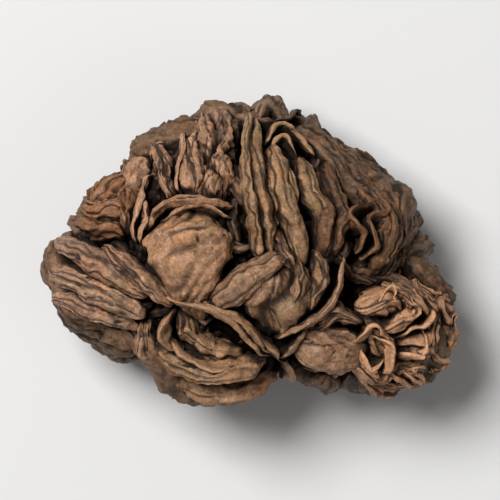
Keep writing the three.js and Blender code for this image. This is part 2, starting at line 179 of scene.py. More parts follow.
def dried_leaf(name, brown, roughness=0.56, gloss=0.24):
    """Dry fermented leaf of about one brown: mottled in patches and streaked lengthwise, with painted shade
    that turns it near black in its creases and in the clefts, and paler along its edges, partly by its own
    paler margin and partly by painted highlight, with a faint waxy gloss and fine pores."""
    material = bpy.data.materials.new(name)
    material.use_nodes = True
    nodes, link = material.node_tree.nodes, material.node_tree.links.new
    shader = nodes["Principled BSDF"]
    place = nodes.new("ShaderNodeTexCoord").outputs["Object"]

    def grain(scale, detail, rough=0.6, vector=place):
        node = nodes.new("ShaderNodeTexNoise")
        node.inputs["Scale"].default_value = scale
        node.inputs["Detail"].default_value = detail
        node.inputs["Roughness"].default_value = rough
        link(vector, node.inputs["Vector"])
        return node.outputs["Fac"]

    def spread(value, low, high, to_low=0.0, to_high=1.0):
        node = nodes.new("ShaderNodeMapRange")
        node.interpolation_type = "SMOOTHSTEP"
        for socket, number in zip(("From Min", "From Max", "To Min", "To Max"), (low, high, to_low, to_high)):
            node.inputs[socket].default_value = number
        link(value, node.inputs["Value"])
        return node.outputs["Result"]

    def mark(name):
        node = nodes.new("ShaderNodeAttribute")
        node.attribute_name = name
        return node.outputs["Fac"]

    def math_of(way, first, second):
        node = nodes.new("ShaderNodeMath")
        node.operation = way
        link(first, node.inputs[0])
        if isinstance(second, bpy.types.NodeSocket):
            link(second, node.inputs[1])
        else:
            node.inputs[1].default_value = second
        return node.outputs[0]

    def mixed(amount, first, second, way="MIX"):
        node = nodes.new("ShaderNodeMix")
        node.data_type = "RGBA"
        node.blend_type = way
        for socket, value in ((node.inputs[0], amount), (node.inputs[6], first), (node.inputs[7], second)):
            if isinstance(value, bpy.types.NodeSocket):
                link(value, socket)
            elif isinstance(value, tuple):
                socket.default_value = (*value, 1.0)
            else:
                socket.default_value = value
        return node.outputs[2]

    def tint(red, green, blue):
        return (brown[0] * red, brown[1] * green, brown[2] * blue)

    fibres = nodes.new("ShaderNodeCombineXYZ")
    link(math_of("MULTIPLY", mark("along"), 0.8), fibres.inputs[0])
    link(math_of("MULTIPLY", mark("around"), 6.5), fibres.inputs[1])
    streaks = grain(1.0, 4, 0.6, fibres.outputs[0])

    colour = mixed(spread(grain(380, 6), 0.39, 0.61), tint(0.52, 0.5, 0.49), tint(1.22, 1.22, 1.22))
    colour = mixed(spread(mark("tone"), 0.0, 1.0, 0.0, 0.7), colour, tint(1.35, 1.35, 1.35))
    colour = mixed(spread(streaks, 0.38, 0.62, 0.35, 0.0), colour, tint(0.52, 0.48, 0.46))
    for scale, detail, begins, full, strength, shade in LEAF_PATCHES:
        colour = mixed(spread(grain(scale, detail), begins, full, 0.0, strength), colour, tint(*shade))
    # paler edges and ridge tops: partly the leaf's paler margin, partly painted highlight
    colour = mixed(spread(mark("edge"), 0.15, 0.9, 0.0, 0.75), colour, tint(1.7, 1.68, 1.62))
    # painted shade: near black in the creases and in the clefts
    cleft = tint(0.07, 0.058, 0.052)
    colour = mixed(spread(mark("seam"), 0.02, 0.75, 0.0, 0.9), colour, cleft)
    colour = mixed(spread(mark("open"), 0.12, 0.68), cleft, colour)
    colour = mixed(1.0, colour, spread(grain(6500, 4, 0.65), 0.34, 0.66, 0.7, 1.12), "MULTIPLY")
    link(colour, shader.inputs["Base Color"])

    waxy = spread(grain(1500, 4), 0.3, 0.7, roughness - 0.16, roughness + 0.1)
    link(math_of("ADD", waxy, spread(mark("open"), 0.2, 0.8, 0.35, 0.0)), shader.inputs["Roughness"])
    shader.inputs["Specular IOR Level"].default_value = gloss
    bump = nodes.new("ShaderNodeBump")
    bump.inputs["Strength"].default_value = 0.7
    bump.inputs["Distance"].default_value = 0.085 * MM
    pores = math_of("ADD", grain(2600, 4, 0.5), math_of("MULTIPLY", grain(6800, 3), 0.45))
    link(math_of("ADD", math_of("MULTIPLY", streaks, 0.8), pores), bump.inputs["Height"])
    link(bump.outputs["Normal"], shader.inputs["Normal"])
    return material


rays, faces = icosphere(CORE_ROUNDS)
rays = unit(rays * CORE_RADII)
core_points = CORE_MIDDLE + rays * core_reach(rays)[:, None]
folds = ridged(core_points * 0.55 + 9, CORE_SHARP)
wrinkles = ridged(core_points * 1.5 + 30, CORE_SHARP)
specks = perlin(core_points * 3.2)
crumbly = FOLD_RISE * folds + WRINKLE_RISE * wrinkles + SPECK_RISE * specks - SUNK
core_points = core_points + rays * crumbly[:, None]
made_piece(
    "packed_core",
    crumpled(core_points),
    faces,
    dried_leaf("packed_leaf", brown=(0.045, 0.025, 0.016), roughness=0.9, gloss=0.03),
    {
        "tone": 0.3 + 0.3 * folds,
        # painted highlight on the ridges of the core's wrinkles, and painted shade in their troughs
        "edge": np.clip(wrinkles - 0.8, 0, 1),
        "seam": np.clip(0.4 - wrinkles, 0, 1),
        "along": core_points[:, 0],
        "around": core_points[:, 1],
    },
)


# The long folds that run down from the crown to the middle: whole leaves creased lengthwise when they were
# damp, so that each shows its rounded back, the steps of its layers and a thin paler lip, partly painted
# highlight. They are stuck to the core by their undersides. Behind them lie thin caps and a leaf whose dark
# brown is painted shadow.
LEAF = dict(
    width=1.5,  # of the folded section
    height=2.2,
    lift=0.7,  # of its middle above the core
    dive=0.5,  # how far both its ends dip back to the core
    raise_start=0.0,  # how far its first end stands up instead
    plumb=0.0,  # 1 where it stands straight up, 0 where it stands square on the core
    lean=0.0,  # degrees that the section leans over
    taper=0.0,  # how much wider its first half is than its last
    blunt=0.4,  # how it narrows to its ends: the lower, the blunter
    pleats=0,  # grooves along its back, and how deep they are
    pleat=0.25,
    wave=0.1,  # how far it swings from side to side, and how often
    ripples=1.4,
    box=0.8,  # how full its section is: 1 is round, and less is squarer
    tuck=0.35,  # how much narrower its underside is
    lip=0.12,  # height of the edges along its two sides
    vein=0.12,  # height of its veins and dents
    crease=0.2,  # depth of the creases that wander along it
    wrinkle=0.0,  # depth of the wrinkles across it
    layers=2,  # layers of the fold that end on its back, and the step of each
    step=0.17,
    tone=0.5,  # 0 for a dark leaf, 1 for a pale one
)
RIM = dict(width=0.42, height=2.6, lift=1.15, plumb=0.8, layers=0, crease=0.05, vein=0.07, tone=0.8)
SMOOTH = dict(vein=0.06, crease=0.1, step=0.1, layers=1, tone=0.8)
MIDLINE_STEPS = 12
MEASURING_STEPS = 200
SEAT_ROUNDS = 8
STANDS = 0.4  # how much of a leaf's height shows above its middle
FLATTEST = 0.02  # keeps a place beyond the core's rim on the core
SHOWN = 0.75  # share of a section's columns on the side that shows
PAST = 0.35  # radians by which that side goes past level
GIRTH = 1.6  # a section's way round, to its width and height together
THIN = 0.7  # a leaf less wide than this is a bare edge
CREASES = 3
OWN_NOISE = 13.7  # how far apart in the noise two leaves lie
RIDGE_MEAN = 0.4  # what ridged noise comes to on average
LEAF_SHARP = 2.4  # how steeply veins fall away


def on_core(place, pits=PITS):
    """The core's point on the ray through a place, and the way out of the core there."""
    ray = unit(place - CORE_MIDDLE)
    at = CORE_MIDDLE + ray * core_reach(ray, pits)
    return at, unit((at - CORE_MIDDLE) / CORE_RADII**2)


def seat_for(x, y, side, stand):
    """The core's point, pits bridged, from which what stands out that far comes over or under a place."""
    aim = np.array([x, y])
    for _ in range(SEAT_ROUNDS):
        u, v = (aim - CORE_MIDDLE[:2]) / CORE_RADII[:2]
        rise = math.sqrt(max(FLATTEST, 1 - u * u - v * v)) * CORE_RADII[2]
        at, out = on_core(np.array([aim[0], aim[1], CORE_MIDDLE[2] + side * rise]), pits=())
        aim = aim + (x, y) - at[:2] - stand * out[:2]
    return at, out


def smooth_line(points, shares):
    """Places on the smooth line through points, and its headings there."""
    spans = len(points) - 1
    ends = np.vstack([2 * points[0] - points[1], points, 2 * points[-1] - points[-2]])
    i = np.minimum((shares * spans).astype(int), spans - 1)
    f = (shares * spans - i)[:, None]
    a, b, c, d = ends[i], ends[i + 1], ends[i + 2], ends[i + 3]
    bend, kink = 2 * a - 5 * b + 4 * c - d, 3 * b - a - 3 * c + d
    places = b + 0.5 * f * (c - a + f * (bend + f * kink))
    return places, unit(c - a + 2 * f * bend + 3 * f * f * kink)


def midline_over(places, side, stand):
    """The midline of a leaf whose back passes over its places in plan."""
    plan = np.array(places, float)
    fine = np.linspace(0, 1, MEASURING_STEPS + 1)
    run = smooth_line(plan, fine)[0]
    far = np.append(0, np.cumsum(np.linalg.norm(np.diff(run, axis=0), axis=1)))
    even = np.interp(np.linspace(0, far[-1], MIDLINE_STEPS + 1), far, fine)
    return [seat_for(x, y, side, stand) for x, y in smooth_line(plan, even)[0]]


def turned(vector, axis, angle):
    """A vector turned about an axis."""
    across = np.cross(axis, vector)
    kept = axis * (axis @ vector) * (1 - math.cos(angle))
    return vector * math.cos(angle) + across * math.sin(angle) + kept


def midline_from(start, way, length, sweep):
    """The midline of a leaf that sets off both ways over the core from its middle, turning by sweep."""
    step, turn = length / MIDLINE_STEPS, math.radians(sweep) / MIDLINE_STEPS
    halves = []
    for sign in (-1, 1):
        at, out = start
        heading = unit(way - out * (way @ out)) * sign
        run = []
        for _ in range(MIDLINE_STEPS // 2):
            heading = turned(heading, out, sign * turn)
            at, out = on_core(at + heading * step)
            heading = unit(heading - out * (heading @ out))
            run.append((at, out))
        halves.append(run)
    return halves[0][::-1] + [start] + halves[1]


def leaf(first, middle, last, side=1, **sizes):
    """A leaf given by the places in plan of its first end, its middle and its last end."""
    shape = {**LEAF, **sizes}
    stand = shape["lift"] + STANDS * shape["height"] * (1 - shape["plumb"])
    return {**shape, "line": midline_over([first, middle, last], side, stand)}


def rim(first, middle, last, **sizes):
    """A leaf's free edge, thin and standing nearly straight up."""
    return leaf(first, middle, last, **{**RIM, **sizes})


def smooth(first, middle, last, **sizes):
    """A pale leaf with little on its back."""
    return leaf(first, middle, last, **{**SMOOTH, **sizes})


def skin_rows(shape, spacing):
    """A leaf's rows: their shares of its way, its length, and their places, sides and ups."""
    at, outs = (np.array(half) for half in zip(*shape["line"]))
    share = np.linspace(0, 1, len(at))[:, None]
    raised = shape["raise_start"] * (1 - share) ** 2
    seats = at + outs * (shape["lift"] + raised - shape["dive"] * (2 * share - 1) ** 4)
    length = np.linalg.norm(np.diff(seats, axis=0), axis=1).sum()
    rows = max(10, round(length / spacing))
    even = np.arange(1, rows) / rows
    shares = 0.35 * even + 0.65 * (0.5 - 0.5 * np.cos(np.pi * even))  # closer together at the ends
    middle, heading = smooth_line(seats, shares)
    out = smooth_line(outs, shares)[0] * (1 - shape["plumb"]) + np.array([0, 0, shape["plumb"]])
    side = unit(np.cross(out, heading))
    return shares, length, middle, side, np.cross(heading, side)


def section_turns(shape, spacing):
    """The angles of a leaf's columns round its section."""
    girth = GIRTH * (shape["width"] + shape["height"])
    cols = max(16, round(0.8 * girth / spacing))
    part = np.arange(cols) / cols
    shown = -PAST + (np.pi + 2 * PAST) * part / SHOWN
    hidden = np.pi + PAST + (np.pi - 2 * PAST) * (part - SHOWN) / (1 - SHOWN)
    return np.where(part < SHOWN, shown, hidden)


class FoldedLeaf:
    """A leaf's section at each of its rows, while its relief is worked into the face that shows."""

    def __init__(self, shape, number, shares, length, turns):
        self.shape, self.number, self.shares, self.length = shape, number, shares, length
        self.draw = random.Random(number)
        self.half = max(0.5 * shape["width"], 0.25)
        cos, sin = np.cos(turns)[None, :], np.sin(turns)[None, :]
        full = np.sin(np.pi * shares) ** shape["blunt"] * (1 + shape["taper"] * (0.5 - shares))
        self.full = (full * (1 + 0.16 * self.ragged(0.9, 0) + 0.07 * self.ragged(3.0, 3)))[:, None]
        tall = (1 + 0.16 * self.ragged(0.7, 5))[:, None]
        self.flat = np.sign(cos) * np.abs(cos) ** shape["box"] * (1 - shape["tuck"] * np.maximum(0, -sin))
        self.sin = sin
        self.face = np.maximum(0, sin)
        self.rise = self.full * np.sign(sin) * np.abs(sin) ** shape["box"] * (shape["height"] / 2) * tall
        self.seam = np.zeros_like(self.rise)
        self.edge = np.zeros_like(self.rise)

    def ragged(self, rate, row):
        """The leaf's own noise along it."""
        far = self.shares * self.length * rate
        return np.array([noise.noise((OWN_NOISE * self.number, row, place)) for place in far])

    def wander(self, most):
        """A line that wanders along the face, starting at most so far from the middle of its width."""
        draw = self.draw
        start, swing = draw.uniform(-most, most), draw.uniform(0.1, 0.3)
        return (start + swing * np.sin(self.shares * draw.uniform(3, 8) + draw.uniform(0, 6)))[:, None]

    def mark(self, seam=0.0, edge=0.0):
        """Marks painted shade in creases and grooves, and pale edges that are partly painted highlight, over
        what is less marked so far.
        """
        self.seam = np.maximum(self.seam, seam)
        self.edge = np.maximum(self.edge, edge)

    def pleat(self):
        """Grooves along the leaf, as in a paper fan."""
        pleats, bent = self.shape["pleats"], 5 * self.shares[:, None] + 3 * self.shape["width"]
        phase = np.pi * pleats * self.full * self.flat + 2 * np.sin(bent)
        groove = (0.5 + 0.5 * np.cos(phase)) ** 3
        self.rise = self.rise - 2.2 * self.shape["pleat"] * self.full * groove * self.face
        # painted shade in the bottoms of the grooves
        self.mark(seam=0.8 * groove**2 * self.face)

    def layer(self):
        """A layer of the fold that ends in a small torn step, with painted shade at its foot and a pale rim
        that is partly painted highlight.
        """
        line, way = self.wander(0.55), self.draw.choice((-1, 1))
        torn = 0.25 * self.ragged(1.6, self.draw.uniform(9, 99))[:, None]
        over = way * (self.flat - line - torn) * self.half
        step = self.shape["step"] * self.draw.uniform(0.6, 1.3)
        stepped = 1 / (1 + np.exp(-over / 0.025)) - 0.4
        self.rise = self.rise + step * stepped * self.face * np.minimum(1, self.full)
        foot, top = np.exp(-(((over + 0.07) / 0.06) ** 2)), np.exp(-(((over - 0.06) / 0.05) ** 2))
        self.mark(0.9 * foot * self.face, 0.8 * top * self.face)

    def crease(self):
        """A crease that wanders along the face and fades out."""
        line, draw = self.wander(0.8), self.draw
        bow = np.sin(np.pi * self.shares * draw.uniform(0.8, 1.3) + draw.uniform(0, 0.6))
        near = (self.flat - line) * self.half / draw.uniform(0.06, 0.1)
        crease = np.exp(-(near**2)) * np.clip(bow, 0, 1)[:, None] * self.face
        self.rise = self.rise - self.shape["crease"] * crease
        # painted shade along the crease
        self.mark(seam=min(0.75, 7 * self.shape["crease"]) * crease)

    def wrinkle(self):
        """Wrinkles slantwise across the leaf, into which its skin was drawn as it dried tight."""
        flat, down = self.flat, self.shares[:, None]
        drawn = 1.2 * self.length * down + 1.5 * flat
        drawn = drawn + 1.1 * self.ragged(0.5, 7)[:, None] + 0.35 * np.sin(4 * flat + 9 * down)
        fade = np.clip(0.7 + 0.4 * np.sin(3 * flat + 5 * down), 0, 1) * self.face
        groove = (0.5 + 0.5 * np.cos(2 * np.pi * drawn)) ** 1.7 * fade
        self.rise = self.rise - self.shape["wrinkle"] * groove
        # painted shade in the wrinkles' grooves, and painted highlight on the crests between them
        self.mark(0.7 * groove**2, 0.5 * (fade - groove) ** 3)

    def lip(self):
        """The raised pale edges along its sides, and the pale top of a bare edge: partly the leaf's paler
        margin and partly painted highlight.
        """
        lip = np.exp(-(((np.abs(self.flat) - 0.93) / 0.07) ** 2)) * np.sqrt(self.face)
        self.rise = self.rise + self.shape["lip"] * lip
        self.mark(edge=lip)
        if self.shape["width"] < THIN:
            self.mark(edge=np.clip((self.sin - 0.5) / 0.4, 0, 1))

    def leant(self):
        """How far each place lies across and up from the midline, once the leaf swings and leans."""
        shape = self.shape
        sinuous = np.sin(2 * np.pi * shape["ripples"] * self.shares + 3 * shape["width"] + shape["height"])
        zigzag = np.arcsin(0.98 * sinuous) / 1.25
        wide = self.full * self.flat * shape["width"] / 2 + shape["wave"] * zigzag[:, None] * self.full
        lean = math.radians(shape["lean"])
        across = wide * math.cos(lean) - self.rise * math.sin(lean)
        return across, wide * math.sin(lean) + self.rise * math.cos(lean)


def tube_faces(rows, cols):
    """The triangles of a skin of rows and columns, with one more point to close each end."""
    i, j = np.meshgrid(np.arange(rows - 1), np.arange(cols), indexing="ij")
    here, right = i * cols + j, i * cols + (j + 1) % cols
    body = np.stack([here, right, here + cols, right, right + cols, here + cols], -1).reshape(-1, 3)
    ring, last = np.arange(cols), (rows - 1) * cols
    first_cap = np.stack([np.full(cols, rows * cols), (ring + 1) % cols, ring], -1)
    last_cap = np.stack([np.full(cols, rows * cols + 1), last + ring, last + (ring + 1) % cols], -1)
    return np.vstack([body, first_cap, last_cap])


def leaf_skin(shape, spacing, number):
    """One folded leaf as a closed skin: its points, triangles, and its marks."""
    shares, length, middle, side, up = skin_rows(shape, spacing)
    fold = FoldedLeaf(shape, number, shares, length, section_turns(shape, spacing))
    if shape["pleats"]:
        fold.pleat()
    for _ in range(shape["layers"]):
        fold.layer()
    for _ in range(CREASES):
        fold.crease()
    if shape["wrinkle"]:
        fold.wrinkle()
    fold.lip()
    across, rise = fold.leant()
    grid = middle[:, None] + side[:, None] * across[..., None] + up[:, None] * rise[..., None]

    # veins and threads that run along the leaf, and small facets, raised out of its skin
    way_round = np.roll(grid, -1, axis=1) - np.roll(grid, 1, axis=1)
    outward = np.cross(way_round, np.gradient(grid, axis=0))
    outward /= np.maximum(np.linalg.norm(outward, axis=-1, keepdims=True), 1e-9)
    run = np.broadcast_to((shares * length)[:, None], across.shape)
    shift = OWN_NOISE * number

    def drawn_out(on, over):
        places = np.stack([run * on + shift, across * over, rise * over], -1).reshape(-1, 3)
        return ridged(places, LEAF_SHARP).reshape(run.shape)

    strands, threads = drawn_out(0.5, 1.9), drawn_out(1.3, 4.6)
    facets = ridged(grid.reshape(-1, 3) * 1.15 + shift, LEAF_SHARP).reshape(run.shape)
    vein, calm = shape["vein"], (np.sin(np.pi * shares) ** 0.4)[:, None]
    push = vein * (strands - RIDGE_MEAN) + 0.42 * vein * (threads - RIDGE_MEAN)
    push = calm * (push + 0.85 * vein * (facets - RIDGE_MEAN))
    grid = grid + outward * push[..., None]
    # painted shade in the troughs between veins and threads, and painted highlight on the vein ridges and
    # facet tops
    fold.mark(
        seam=1.4 * np.clip(-0.25 - strands, 0, 1) + np.clip(-0.45 - threads, 0, 1),
        edge=1.1 * np.clip(strands - 0.6, 0, 1) + 0.8 * np.clip(facets - 0.7, 0, 1),
    )
    tone = shape["tone"] + 0.25 * (strands - RIDGE_MEAN) + 0.15 * (facets - RIDGE_MEAN)
    tone = tone + fold.draw.uniform(-0.12, 0.12)
    seam = np.clip(fold.seam, 0, 1)
    marks = {"tone": tone, "edge": fold.edge, "seam": seam, "along": run + shift, "around": across + rise}
    marks = {name: np.append(values.ravel(), values[[0, -1]].mean(1)) for name, values in marks.items()}
    points = np.vstack([grid.reshape(-1, 3), grid[0].mean(0), grid[-1].mean(0)])
    return points, tube_faces(*run.shape), marks


def leaf_group(name, leaves, material, spacing=0.09):
    """Leaves of one kind joined into one piece, each numbered for its own noise and draws."""
    skins = [leaf_skin(shape, spacing, 100 * (len(PIECES) + 1) + i) for i, shape in enumerate(leaves)]
    counts = np.cumsum([0] + [len(points) for points, _, _ in skins])
    made_piece(
        name,
        crumpled(np.vstack([points for points, _, _ in skins])),
        np.vstack([faces + count for (_, faces, _), count in zip(skins, counts)]),
        material,
        {mark: np.concatenate([marks[mark] for _, _, marks in skins]) for mark in skins[0][2]},
    )


leaf_group(
    "crown_folds",
    [
        smooth(
            (0.4, 9.8), (0.7, 4.6), (1.2, 0.2), width=1.7, height=3.0, lift=0.9, taper=-1.0, blunt=0.3,
            pleats=2,
        ),
        smooth((1.5, 7.3), (2.25, 4.1), (3.6, -0.2), width=1.6, height=3.0, lift=1.0, blunt=0.3),
        smooth((3.2, 6.5), (3.8, 4.8), (4.7, 2.6), width=1.4, height=2.6, lift=1.0, blunt=0.3),
        smooth((2.1, 6.2), (2.5, 5.2), (3.2, 3.9), width=0.6, height=2.6, lift=1.2, layers=0),
        rim((1.1, 7.1), (2.2, 7.8), (4.1, 6.7)),
        rim((1.4, 6.6), (2.0, 7.0), (2.9, 6.6), lift=1.0),
    ],
    dried_leaf("crown_leaf", brown=(0.25, 0.142, 0.075)),
)
leaf_group(
    "back_leaf",
    [
        leaf((2.2, 9.0), (4.7, 7.5), (6.7, 5.3), width=2.4, height=2.0, lift=0.4, pleats=1, layers=3),
        rim((1.6, 8.3), (3.0, 8.3), (4.4, 7.8), lift=0.7),
    ],
    # painted shadow: the brown of these leaves is darkened to stand for shadow
    dried_leaf("leaf_in_painted_shadow", brown=(0.057, 0.031, 0.018)),
)


# The rough bundle at the upper left: short leaves crushed into knobbly facets, with narrow leaves and thin
# edges beside them. All are stuck to the core's upper left shoulder.
leaf_group(
    "upper_left_bundle",
    [
        leaf((-1.7, 9.7), (-1.9, 7.8), (-2.1, 5.8), width=2.6, height=2.4, pleats=2, pleat=0.3, vein=0.16),
        leaf((-1.5, 6.5), (-1.8, 5.2), (-1.9, 3.7), width=2.4, height=2.6, pleats=1, pleat=0.3, vein=0.16),
        leaf((-3.2, 7.6), (-3.4, 5.9), (-3.2, 4.1), width=1.5, height=2.6, lift=0.8, vein=0.16, tone=0.7),
        leaf((-5.5, 7.3), (-5.0, 5.6), (-4.5, 3.9), width=0.9, height=2.4, lift=0.9),
        leaf((-7.0, 7.4), (-7.6, 6.0), (-8.0, 4.6), width=1.8, lift=0.5, pleats=1, layers=3, tone=0.2),
        rim((-5.9, 5.2), (-6.3, 3.2), (-6.5, 0.8)),
        rim((-6.0, 3.2), (-5.9, 2.0), (-6.1, 0.8), lift=0.9),
        rim((-3.6, 7.3), (-4.0, 5.6), (-3.8, 3.9), lift=0.9),
        rim((-7.2, 7.5), (-5.8, 7.9), (-4.1, 7.4), lift=0.6),
    ],
    dried_leaf("bundle_leaf", brown=(0.288, 0.158, 0.095)),
)


# The smooth bulb: one leaf blown up like a blister, wide at its top, and dried so tight that its skin is
# drawn into wrinkles. The thin edges of the leaves behind it arch over its top.
leaf_group(
    "bulb_and_arches",
    [
        smooth(
            (-3.6, 2.8), (-3.4, -0.2), (-2.8, -4.1), width=4.5, height=3.6, lift=0.9, taper=1.0, box=0.95,
            wrinkle=0.3, lip=0.0, vein=0.03, crease=0.0, layers=0,
        ),
        rim((-6.1, 1.6), (-4.5, 3.2), (-0.7, 3.3), width=0.7, plumb=0.4, lift=1.2),
        rim((-4.9, 2.4), (-3.0, 2.9), (-0.9, 2.6), width=0.3, lift=0.9),
    ],
    dried_leaf("bulb_leaf", brown=(0.312, 0.17, 0.095), roughness=0.5),
)


# The small tongue in the middle and the petals that narrow towards the navel: smooth backs of single leaves,
# drawn together at their stalks and stuck to the core and to each other.
leaf_group(
    "tongue_and_petals",
    [
        smooth((-2.1, -3.1), (0.2, -1.3), (2.5, 0.4), width=1.9, height=2.4, lift=1.5, blunt=0.6, tone=0.1),
        leaf((1.3, 1.6), (2.1, 0.6), (2.9, -0.8), width=1.3, lift=1.0, tone=0.3),
        smooth(
            (2.3, -0.9), (2.1, -3.2), (2.1, -5.4), width=3.7, height=2.8, lift=1.0, taper=1.2, blunt=0.45,
            pleats=1,
        ),
        leaf((3.3, -0.2), (3.4, -1.7), (3.1, -3.1), width=0.9, height=2.6, lift=1.3),
        leaf((4.3, 0.0), (4.5, -1.6), (4.0, -3.1), width=1.1, height=2.6, lift=1.0),
        rim((5.9, -0.2), (5.1, -2.9), (2.0, -5.1), lift=1.3),
        rim((3.9, -4.2), (3.0, -5.2), (2.0, -6.0), lift=1.0),
        smooth((2.9, -5.0), (5.2, -5.6), (7.6, -6.2), width=3.0, height=1.9, lift=0.9, box=0.6),
        leaf((4.8, -4.0), (5.7, -3.5), (6.7, -3.9), width=0.9, lift=1.0),
    ],
    dried_leaf("petal_leaf", brown=(0.23, 0.13, 0.074), roughness=0.52),
)


# The long double edge from the fan to the navel: leaf margins standing up over the dark pocket, with the
# small leaves in it and the bands that close it below.
leaf_group(
    "long_edges",
    [
        rim((-4.8, -2.4), (-1.3, -3.3), (1.2, -6.1), width=0.4, height=2.8, lift=1.4),
        rim((-2.6, -2.5), (-0.7, -3.4), (1.5, -5.8), width=0.36, height=2.8, lift=1.4),
        rim((0.6, -4.5), (1.3, -5.2), (2.0, -6.1)),
        rim((-4.3, -3.4), (-4.75, -4.2), (-4.4, -5.3), lift=1.2),
        rim((-4.7, -4.6), (-3.4, -6.1), (-0.6, -6.7), lift=1.2),
        leaf((-4.0, -3.4), (-3.6, -4.3), (-2.8, -5.4), width=1.2, lift=0.4),
        leaf((-3.1, -5.0), (-2.0, -5.7), (-0.4, -6.2), width=1.3, lift=0.1, tone=0.4),
        smooth((-5.5, -5.9), (-3.0, -7.0), (1.0, -6.9), width=1.1, height=2.6, lift=1.1),
        smooth((-4.8, -7.6), (-1.7, -8.5), (2.2, -7.8), width=1.8, height=2.4, pleats=1),
        leaf((-3.8, -8.5), (-2.8, -8.9), (-1.8, -8.8), width=1.0, lift=0.4),
        rim((2.1, -6.0), (2.4, -6.5), (2.7, -7.1), lift=0.8),
    ],
    dried_leaf("band_leaf", brown=(0.238, 0.134, 0.073)),
)


# The fan of pleats that sticks out at the left, one leaf folded like a paper fan and held in the lump by its
# root, and the column below it.
FAN = dict(height=2.6, lift=1.1, dive=0.3, raise_start=1.0, tone=0.8, vein=0.055, crease=0.14, layers=1)
leaf_group(
    "fan",
    [
        leaf(
            (-8.9, 0.6), (-6.6, -1.1), (-4.6, -3.0), width=1.2, height=2.6, lift=1.2, tone=0.7, vein=0.08,
            layers=1,
        ),
        leaf((-11.6, 0.9), (-9.2, 0.0), (-6.2, -2.5), width=1.4, **FAN),
        leaf((-11.8, -0.6), (-9.5, -1.6), (-6.3, -3.6), width=1.6, **FAN),
        leaf((-11.7, -2.1), (-9.6, -2.9), (-6.8, -4.5), width=1.5, **FAN),
        leaf((-6.3, -3.8), (-6.0, -5.5), (-4.5, -7.6), width=1.5, height=2.4, lift=0.9),
        leaf((-6.5, -6.4), (-5.4, -7.3), (-4.2, -8.1), width=1.4, lift=0.6),
    ],
    dried_leaf("fan_leaf", brown=(0.264, 0.15, 0.093)),
)


# The knobs at the left edge: reddish leaf tips, rolled into little balls while they were damp. They are
# stuck to the core between the bundle and the fan.
leaf_group(
    "left_knobs",
    [
        leaf((-8.0, 5.4), (-8.9, 4.5), (-9.6, 3.4), width=1.9, height=2.6, lift=0.9, layers=3),
        leaf((-10.2, 3.3), (-9.0, 3.0), (-7.7, 3.0), width=1.6, height=2.6, lift=1.1, layers=3),
        leaf((-10.4, 2.0), (-9.1, 1.8), (-7.7, 1.6), width=1.3, height=2.6, lift=1.1),
        leaf((-7.6, 4.5), (-7.3, 3.1), (-7.3, 1.6), width=1.2, tone=0.2),
    ],
    dried_leaf("knob_leaf", brown=(0.205, 0.093, 0.043)),
)


# The right lobe: darker leaf that curled up tight as it dried, with two jagged edges that stand up from it
# and the folds beside it. It is stuck to the core's right shoulder.
JAGGED = dict(lift=1.4, wave=0.5, ripples=2.1)
leaf_group(
    "right_lobe",
    [
        leaf((7.7, 5.1), (9.0, 2.4), (8.4, -1.2), width=2.5, height=2.8, lift=1.0, pleats=1, layers=3),
        rim((7.1, 3.8), (6.6, 2.3), (6.9, 0.6), **JAGGED),
        rim((8.4, 3.8), (7.7, 2.0), (7.2, -0.1), **JAGGED),
        smooth((4.8, 6.3), (5.3, 3.4), (4.9, -0.2), width=2.2, height=2.6, lift=0.9, pleats=2, vein=0.09),
        leaf((5.8, 6.2), (6.6, 5.1), (7.2, 4.0), width=1.4, lift=0.6, tone=0.3),
    ],
    dried_leaf("lobe_leaf", brown=(0.124, 0.059, 0.027)),
)


